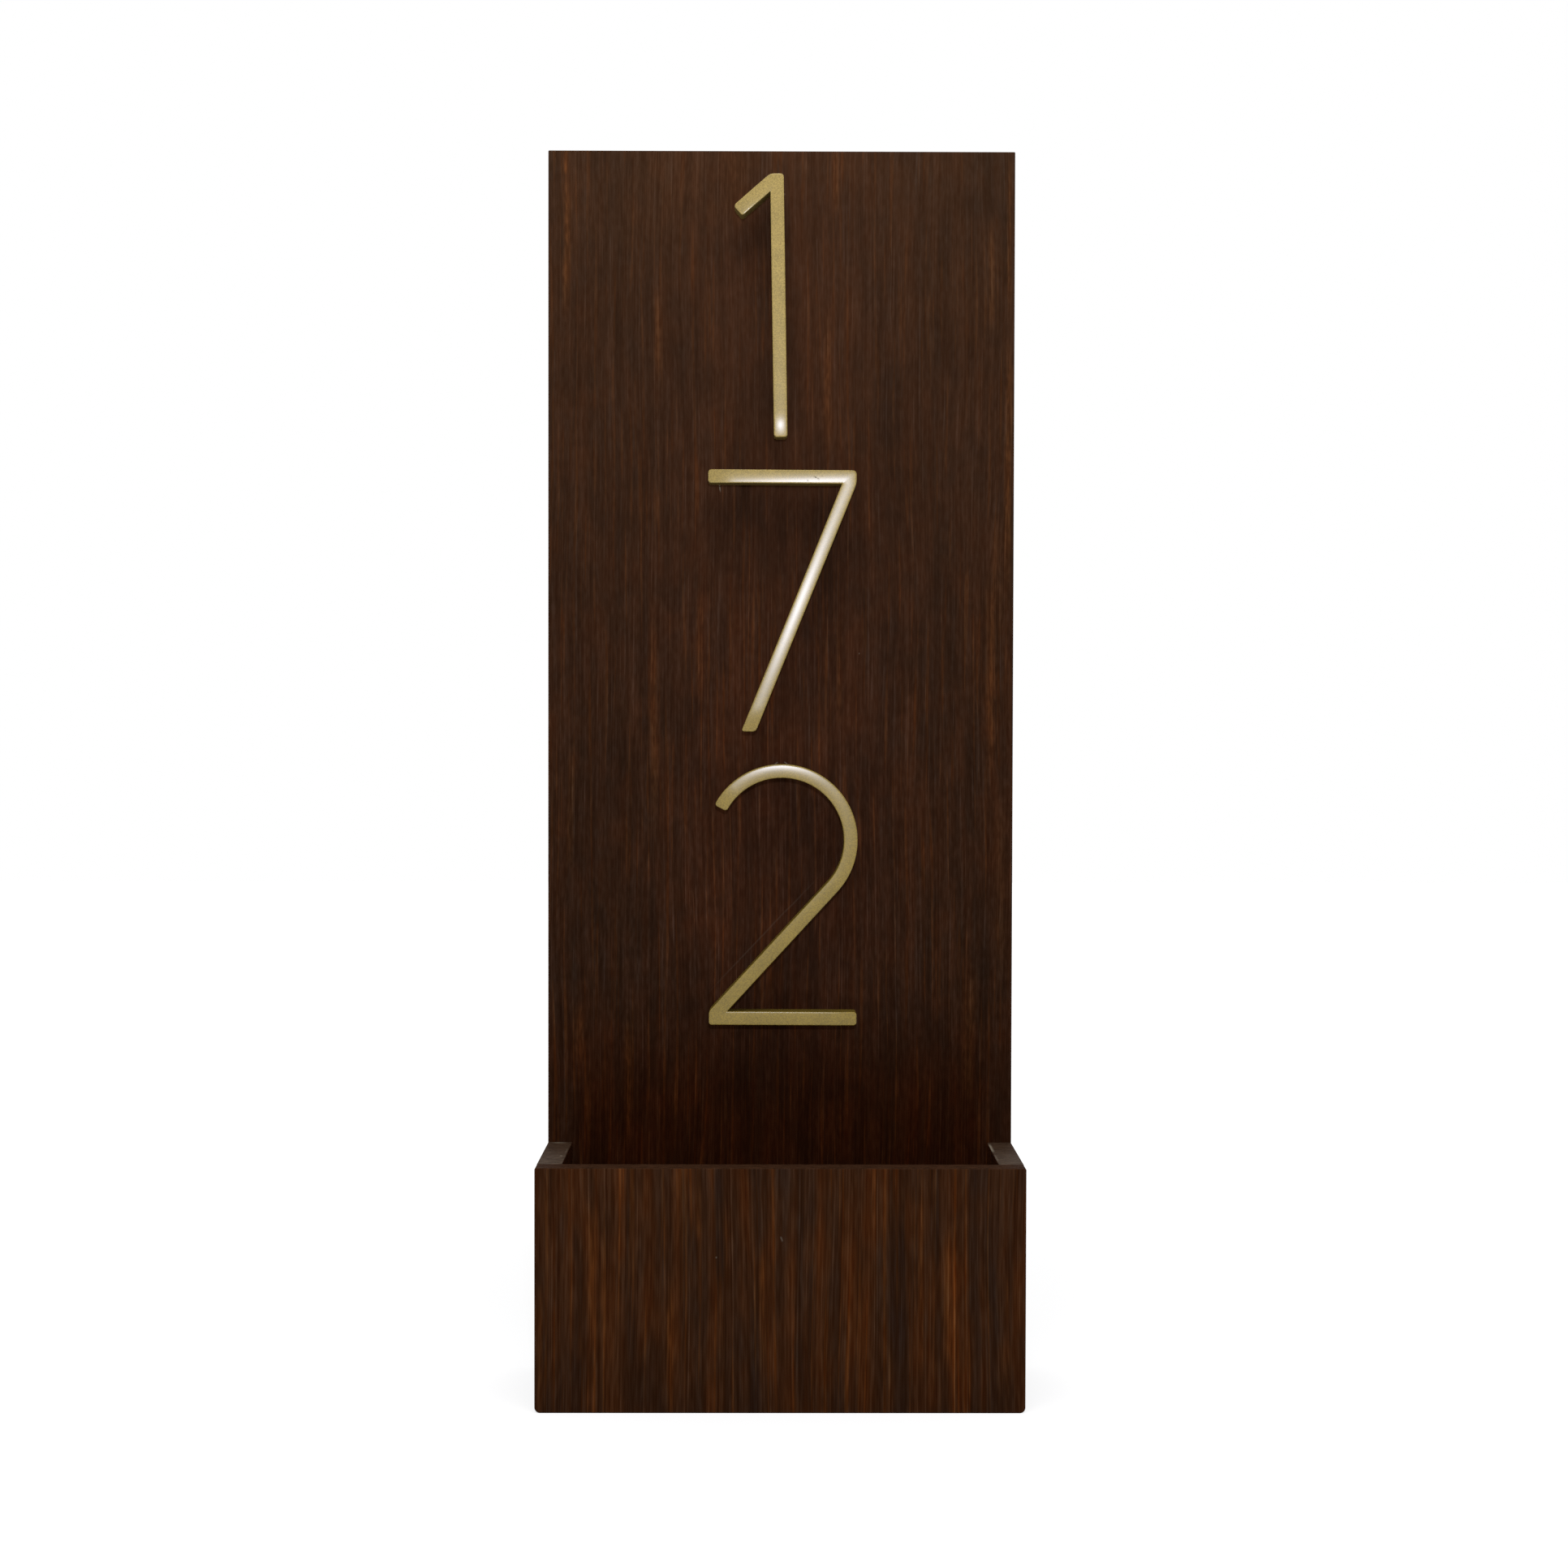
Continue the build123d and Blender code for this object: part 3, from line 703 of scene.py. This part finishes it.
# %% Numeral outlines
NUMERAL_HEIGHT, STROKE = 126.6, 6.6
CORNER_POINTS, ARC_POINTS = 40, 150
ONE_REACH, SEVEN_REACH, TWO_REACH = 1.9, 2.28, 1.52
TINY = 0.01


def numeral_one(arm_length=23.4, arm_angle=radians(40.0)):
    """An arm that rises to the top of an upright stem."""
    side, top = STROKE / 2, NUMERAL_HEIGHT
    slope = np.array([cos(arm_angle), sin(arm_angle)])
    across = np.array([sin(arm_angle), -cos(arm_angle)]) * STROKE
    root = np.array([-side, top])
    tip = root - slope * arm_length
    inner = np.array([-side, top - STROKE / cos(arm_angle)])
    over = inner - across
    outer = soften([over, root, (side, top), (side, inner[1])], ONE_REACH)
    return joined([
        ([tip + across, inner], [tip, over], straight(tip, over)),
        ([inner, inner + (0, -TINY)], outer, CORNER_POINTS),
        ([inner, (-side, 0)], [(side, inner[1]), (side, 0)], straight(inner, (-side, 0))),
    ])


def numeral_seven(width=71.8, lean=radians(21.7)):
    """A level bar and a leg that leans back from its right end."""
    right, top, under = width / 2, NUMERAL_HEIGHT, NUMERAL_HEIGHT - STROKE
    leg = STROKE / cos(lean)
    inner = np.array([right - leg, under])
    foot = right - under * tan(lean)
    beside = inner + np.array([cos(lean), -sin(lean)]) * STROKE
    outer = soften([(inner[0], top), (right, top), (right, under), beside], SEVEN_REACH)
    return joined([
        ([(-right, under), inner], [(-right, top), (inner[0], top)], straight((-right, top), inner)),
        ([inner, inner + (-0.4 * TINY, -TINY)], outer, CORNER_POINTS),
        ([inner, (foot - leg, 0)], [beside, (foot, 0)], straight(inner, (foot, 0))),
    ])


def numeral_two(radius=36.8, lean=radians(42.3), tip=radians(152.7)):
    """An arc from its tip round to a leaning leg, and a bar along the base line."""
    inside, middle = radius - STROKE, NUMERAL_HEIGHT - radius
    turn = np.linspace(tip, -lean, ARC_POINTS)
    ring = np.stack([np.cos(turn), np.sin(turn)], axis=1)
    centre = np.array([0.0, middle])
    down = np.array([-sin(lean), -cos(lean)])
    aside = np.array([-cos(lean), sin(lean)]) * STROKE
    start = centre + ring[-1] * radius
    inner = start + down * (start[1] - STROKE) / cos(lean)
    left = inner + aside + down * (aside[1] / cos(lean))
    outer = soften([inner + aside, left, (left[0], 0), (inner[0], 0)], TWO_REACH)
    return joined([
        (centre + ring * inside, centre + ring * radius, ARC_POINTS),
        ([start + aside, inner + aside], [start, inner], straight(start, inner)),
        (outer, [inner, inner + (TINY, 0)], CORNER_POINTS),
        ([(inner[0], 0), (radius, 0)], [inner, (radius, STROKE)], straight(inner, (radius, STROKE))),
    ])


strokes = {"one": numeral_one(), "seven": numeral_seven(), "two": numeral_two()}
print("points along each stroke:", {name: len(edges[0]) for name, edges in strokes.items()})

# %% [markdown]
# ## Crowned faces
# The numerals are not flat plates: their faces swell a little across the stroke, the edges are
# rounded and each end dips. That slight crown is what makes the flash shine on the lower edge of a
# bar above the lens and on the upper edge of an arc below it. A bevel can't swell a face, so each
# face is a surface over two numbers, how far along the stroke and how far across it, and every point
# of it lies between the stroke's two edges.

# %% Numeral faces
CORNER_ROUND, EDGE_ROUND = 1.5, 0.4
EDGE_POINTS, RIM_POINTS, ACROSS_POINTS, CLEAR_OF_RIM = 6, 4, 12, 0.2
CROWN_RADIUS, CROWN_FALL = 60.0, 3000.0
END_DIP, END_RADIUS = 12.0, 95.0
NEARLY_ZERO = 1e-9


def inset_steps(length, inner):
    """Insets from both ends of a length: close together in the rounding, then the inner ones."""
    edge = EDGE_ROUND * (1.0 - np.sin(np.linspace(np.pi / 2, 0.0, EDGE_POINTS)))
    edge = np.concatenate([edge, np.linspace(EDGE_ROUND, CORNER_ROUND, RIM_POINTS)[1:]])
    clear = CORNER_ROUND + CLEAR_OF_RIM
    inner = inner[(inner > clear) & (inner < length - clear)]
    return np.concatenate([edge, inner, (length - edge)[::-1]])


def into_corner(inset, length):
    """How far into the corner's rounding: 0 on the face, 1 at either end of the length."""
    return np.clip((CORNER_ROUND - np.minimum(inset, length - inset)) / CORNER_ROUND, 0.0, 1.0)


def numeral_face(near, far):
    """Place on the face and depth below its highest line, over a grid along and across the stroke.

    With u from the middle of the stroke, depth = u^2 / (2 x crown radius) + u^4 / (4 x crown fall)
    + dip^2 / (2 x end radius) + the quarter round at the edge. Corners are pulled in to be round.
    """
    reach = lengths_along((near + far) / 2)
    length = reach[-1]
    along = inset_steps(length, reach)
    across = inset_steps(STROKE, np.linspace(0.0, STROKE, ACROSS_POINTS))
    along, across = np.meshgrid(along, across, indexing="ij")
    a, b = into_corner(across, STROKE), into_corner(along, length)
    rim = np.maximum(a, b)
    pull = np.where((a > 0) & (b > 0), rim / np.maximum(np.hypot(a, b), NEARLY_ZERO), 1.0)
    across = across + np.where(across < STROKE / 2, 1, -1) * CORNER_ROUND * a * (1.0 - pull)
    along = along + np.where(along < length / 2, 1, -1) * CORNER_ROUND * b * (1.0 - pull)

    share = (across / STROKE)[..., None]
    near_place, far_place = (
        np.stack([np.interp(along, reach, edge[:, axis]) for axis in (0, 1)], axis=-1)
        for edge in (near, far))
    place = near_place * (1.0 - share) + far_place * share
    u = across - STROKE / 2
    dip = np.clip(END_DIP - np.minimum(along, length - along), 0.0, None)
    depth = u ** 2 / (2 * CROWN_RADIUS) + u ** 4 / (4 * CROWN_FALL) + dip ** 2 / (2 * END_RADIUS)
    past = np.clip(1.0 - CORNER_ROUND * (1.0 - rim) / EDGE_ROUND, 0.0, 1.0)
    depth = depth + EDGE_ROUND * (1.0 - np.sqrt(1.0 - past ** 2))
    return place, depth


faces = {name: numeral_face(*edges) for name, edges in strokes.items()}
print("grids of the faces:", {name: depth.shape for name, (place, depth) in faces.items()})

# %% [markdown]
# ## The numerals as closed meshes
# A face alone would be open at the back. Solidify would give every part the same thickness, but the
# back is flat and the face isn't. So the same grid is laid once more at the solid's back, and a wall
# joins the two rims. The numerals aren't bent quite alike either: the seven and the two lean back a
# little above, which moves their bright spots.

# %% Numeral meshes
UNBENT = 1e9
LEAN_FROM, LEAN_RADIUS = 80.0, {"one": UNBENT, "seven": 20e3, "two": 2000.0}
TWIST = {"one": UNBENT, "seven": 75e3, "two": UNBENT}
# for each numeral: x and z of its foot in millimetres, and its tilt in degrees
PLACES = {"one": (-0.4, 459.2, 0.95), "seven": (-0.3, 316.9, -0.35), "two": (0.2, 174.6, -0.2)}
SHARP_ANGLE = radians(50)


def closed_shell(rows, columns):
    """Quads of a front grid, of the same grid behind it turned round, and of the wall between."""
    front = np.arange(rows * columns).reshape(rows, columns)
    rear = front + rows * columns
    cell = [front[:-1, :-1], front[1:, :-1], front[1:, 1:], front[:-1, 1:]]
    back = [rear[:-1, :-1], rear[:-1, 1:], rear[1:, 1:], rear[1:, :-1]]
    quads = [np.stack([c.ravel() for c in cell], 1), np.stack([c.ravel() for c in back], 1)]
    for a, b in ((front[:, 0], rear[:, 0]), (front[-1], rear[-1]),
                 (front[::-1, -1], rear[::-1, -1]), (front[0, ::-1], rear[0, ::-1])):
        quads.append(np.stack([a[1:], a[:-1], b[:-1], b[1:]], 1))
    return np.vstack(quads)


def make_numeral(name, place, depth, x, z, tilt):
    """One numeral as a closed mesh, turned by its tilt and set at its own depth.

    Above the height where it starts to lean back, depth grows by rise^2 / 2 x (1 / lean radius -
    way to the right / twist), so that a bent bar leans back on its left and forward on its right.
    The nearest point is then set on the solid's face.
    """
    low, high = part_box("numeral_" + name)
    rise = np.clip(place[..., 1] - LEAN_FROM, 0.0, None)
    depth = depth + rise ** 2 / 2 * (1 / LEAN_RADIUS[name] - place[..., 0] / TWIST[name])
    depth = depth - depth.min()
    turn = radians(tilt)
    right = x + place[..., 0] * cos(turn) - place[..., 1] * sin(turn)
    up = z + place[..., 0] * sin(turn) + place[..., 1] * cos(turn)
    face = np.stack([right, low.y / MM + depth, up], axis=-1)
    rear = np.stack([right, np.full_like(right, high.y / MM), up], axis=-1)
    points = np.concatenate([face.reshape(-1, 3), rear.reshape(-1, 3)]) * MM
    mesh = bpy.data.meshes.new("crowned_" + name)
    mesh.from_pydata(points.tolist(), [], closed_shell(*depth.shape).tolist())
    mesh.shade_smooth()
    mesh.set_sharp_from_angle(angle=SHARP_ANGLE)
    numeral = bpy.data.objects.new("crowned_" + name, mesh)
    bpy.context.scene.collection.objects.link(numeral)
    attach(numeral, "root")
    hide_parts("numeral_" + name)
    below = np.round((points.min(0) - np.array(low)) / MM, 2)
    above = np.round((points.max(0) - np.array(high)) / MM, 2)
    print(mesh.name, len(mesh.polygons), "faces; off the solid's box by", below, above, "mm")
    return numeral


crowned = [make_numeral(name, *faces[name], *PLACES[name]) for name in strokes]

# %% [markdown]
# ## Satin gold lacquer
# The numerals wear a champagne-gold lacquer with fine metal flakes. A plain metal would look too
# hard. Each flake is a small cell with its own brightness, a clear coat on top takes the bright
# spots of the flash, and the colour below stays broad and soft. The sides of the strokes are
# darkened with painted shade, and the upper numerals are made paler with painted light. A short
# dull scratch crosses the bar of the seven.

# %% Gold material
# painted light: the lacquer is made paler and bluer towards the upper numerals, as the lamp above lights
# them more
LACQUER_PAINTED_DIM = (0.282, 0.193, 0.0310, 1.0)
LACQUER_PAINTED_BRIGHT = (0.402, 0.288, 0.0820, 1.0)
PAINTED_LIGHT_RISE = (180, 560)
# painted shade: the colour is darkened on the sides of the strokes
SIDE_FACING, SIDE_PAINTED_SHADE = (0.25, 0.80), 0.55
FLAKES_PER_MM, FLAKE_SHADE, FLAKE_ROUGHNESS = 2.6, (0.80, 1.22), (0.38, 0.48)
MOST_NOISE = (0.3, 0.7)
CLOUD_SPREAD, CLOUD_SHADE = (14, 14, 14), (0.94, 1.06)
SCRATCH_SPREAD, SCRATCH_EDGE, SCRATCH_SHADE = (0.6, 0.6, 0.6), (0.40, 0.60), 0.45
COAT, COAT_ON_SCRATCH, COAT_ROUGHNESS = 0.58, 0.12, 0.205
METAL_SHARE, LACQUER_SHINE = 0.10, 0.1
RIPPLE_SPREAD, RIPPLE_BUMP, RIPPLE_DEPTH = (0.35, 0.35, 0.35), 0.08, 0.05
bar_marks = [
    (16.9, 439.4, 0.8, 2.4, 62, 1.0), (19.6, 440.3, 0.5, 1.3, 75, 1.0), (12.6, 438.4, 0.5, 1.0, 40, 0.9),
]


def satin_gold():
    """Cells under half a millimetre wide shift the colour, and so do painted light by the height and
    painted shade by the facing.
    """
    material, tree, shader, position = new_material("satin_gold")
    facing = ease(tree, sums(tree, "ABSOLUTE", facing_of(tree)["Y"]), *SIDE_FACING)
    painted_rise = ease(tree, split(tree, position)["Z"], *PAINTED_LIGHT_RISE)
    cells = add(tree, "ShaderNodeTexVoronoi", {"Vector": position, "Scale": FLAKES_PER_MM})
    flake = add(tree, "ShaderNodeSeparateColor", {0: cells.outputs["Color"]}).outputs[0]
    broken = ease(tree, noise(tree, position, SCRATCH_SPREAD, detail=2.0), *SCRATCH_EDGE)
    scratch = sums(tree, "MULTIPLY", spots(tree, position, bar_marks), broken)
    shade = ease(tree, flake, 0.0, 1.0, *FLAKE_SHADE)
    for other in (
        ease(tree, noise(tree, position, CLOUD_SPREAD, detail=2.0), *MOST_NOISE, *CLOUD_SHADE),
        ease(tree, facing, 0.0, 1.0, SIDE_PAINTED_SHADE, 1.0),
        ease(tree, scratch, 0.0, 1.0, 1.0, SCRATCH_SHADE),
    ):
        shade = sums(tree, "MULTIPLY", shade, other)
    colour = vectors(tree, "MULTIPLY", blend(tree, painted_rise, LACQUER_PAINTED_DIM, LACQUER_PAINTED_BRIGHT), shade)
    rough = ease(tree, flake, 0.0, 1.0, *FLAKE_ROUGHNESS)
    coat = ease(tree, scratch, 0.0, 1.0, COAT, COAT_ON_SCRATCH)
    ripple = noise(tree, position, RIPPLE_SPREAD, detail=2.0)
    shader.inputs["Metallic"].default_value = METAL_SHARE
    shader.inputs["Specular IOR Level"].default_value = LACQUER_SHINE
    shader.inputs["Coat Roughness"].default_value = COAT_ROUGHNESS
    fill(tree, shader.inputs["Coat Weight"], sums(tree, "MULTIPLY", facing, coat))
    lay_on(tree, shader, colour, rough, ripple, RIPPLE_BUMP, RIPPLE_DEPTH)
    return material


gold = satin_gold()
for numeral in crowned:
    numeral.data.materials.append(gold)
print("material", gold.name)

# %% [markdown]
# ## The small fittings
# The hangers and screws are zinc-plated steel, the sleeves are black nylon and the dowels bare
# beech. They sit at the back or inside, and one grey for all would do at a glance. Each still gets
# its own surface, because the parts can be looked at one by one.

# %% Zinc, nylon and beech
ZINC, ZINC_SHADE = (0.52, 0.53, 0.55, 1.0), (0.85, 1.08)
ZINC_BRUSH, ZINC_CLOUD = (9, 9, 0.25), (5, 5, 5)
ZINC_ROUGH, ZINC_BUMP = (0.25, 0.22), 0.15
NYLON, NYLON_SHADE = (0.014, 0.013, 0.012, 1.0), (0.8, 1.2)
NYLON_TEXTURE, NYLON_ROUGH, NYLON_BUMP = (0.3, 0.3, 0.3), (0.2, 0.4), 0.2
BEECH_DARK, BEECH_PALE = (0.46, 0.29, 0.16, 1.0), (0.66, 0.47, 0.30, 1.0)
BEECH_FIBRE, BEECH_ROUGH, BEECH_BUMP = (0.4, 12, 0.4), (0.2, 0.55), 0.2
FINE, COARSE = 0.05, 0.1


def zinc_plate():
    """Bright metal with fine brushed lines and cloudy patches."""
    material, tree, shader, position = new_material("zinc_plate")
    brushed = noise(tree, position, ZINC_BRUSH, detail=2.0)
    shade = ease(tree, noise(tree, position, ZINC_CLOUD, detail=3.0), *MOST_NOISE, *ZINC_SHADE)
    colour = blend(tree, 1.0, ZINC, shade, "MULTIPLY")
    rough = sums(tree, "MULTIPLY_ADD", brushed, *ZINC_ROUGH)
    shader.inputs["Metallic"].default_value = 1.0
    lay_on(tree, shader, colour, rough, brushed, ZINC_BUMP, FINE)
    return material


def black_nylon():
    """Dark moulded surface with a fine even texture."""
    material, tree, shader, position = new_material("black_nylon")
    fine = noise(tree, position, NYLON_TEXTURE, detail=2.0)
    colour = blend(tree, 1.0, NYLON, ease(tree, fine, *MOST_NOISE, *NYLON_SHADE), "MULTIPLY")
    rough = sums(tree, "MULTIPLY_ADD", fine, *NYLON_ROUGH)
    lay_on(tree, shader, colour, rough, fine, NYLON_BUMP, FINE)
    return material


def bare_beech():
    """Pale wood with short fibres along the dowel."""
    material, tree, shader, position = new_material("bare_beech")
    fibre = noise(tree, position, BEECH_FIBRE, detail=2.0)
    colour = blend(tree, ease(tree, fibre, *MOST_NOISE), BEECH_DARK, BEECH_PALE)
    rough = sums(tree, "MULTIPLY_ADD", fibre, *BEECH_ROUGH)
    lay_on(tree, shader, colour, rough, fibre, BEECH_BUMP, COARSE)
    return material


zinc, nylon, beech = zinc_plate(), black_nylon(), bare_beech()
print("fittings:", zinc.name, nylon.name, beech.name)

# %% [markdown]
# ## Dressing the solids
# The CAD solids could be copied and changed, but they already are the real shapes. So none is moved
# here: each one's material slot simply takes its new finish.

# %% Put the finishes on
finishes = dict(wood)
finishes.update({name: gold for name in ("numeral_one", "numeral_seven", "numeral_two")})
finishes.update({name: zinc for name in ("keyhole_hanger_left", "keyhole_hanger_right")})
finishes.update({name: zinc for name in ("box_screws", "hanger_screws", "numeral_studs")})
finishes.update({"standoff_sleeves": nylon, "front_dowels": beech})
for name, material in finishes.items():
    nodes[name].data.materials.clear()
    nodes[name].data.materials.append(material)
print("dressed:", len(finishes), "of", len(nodes), "solids")
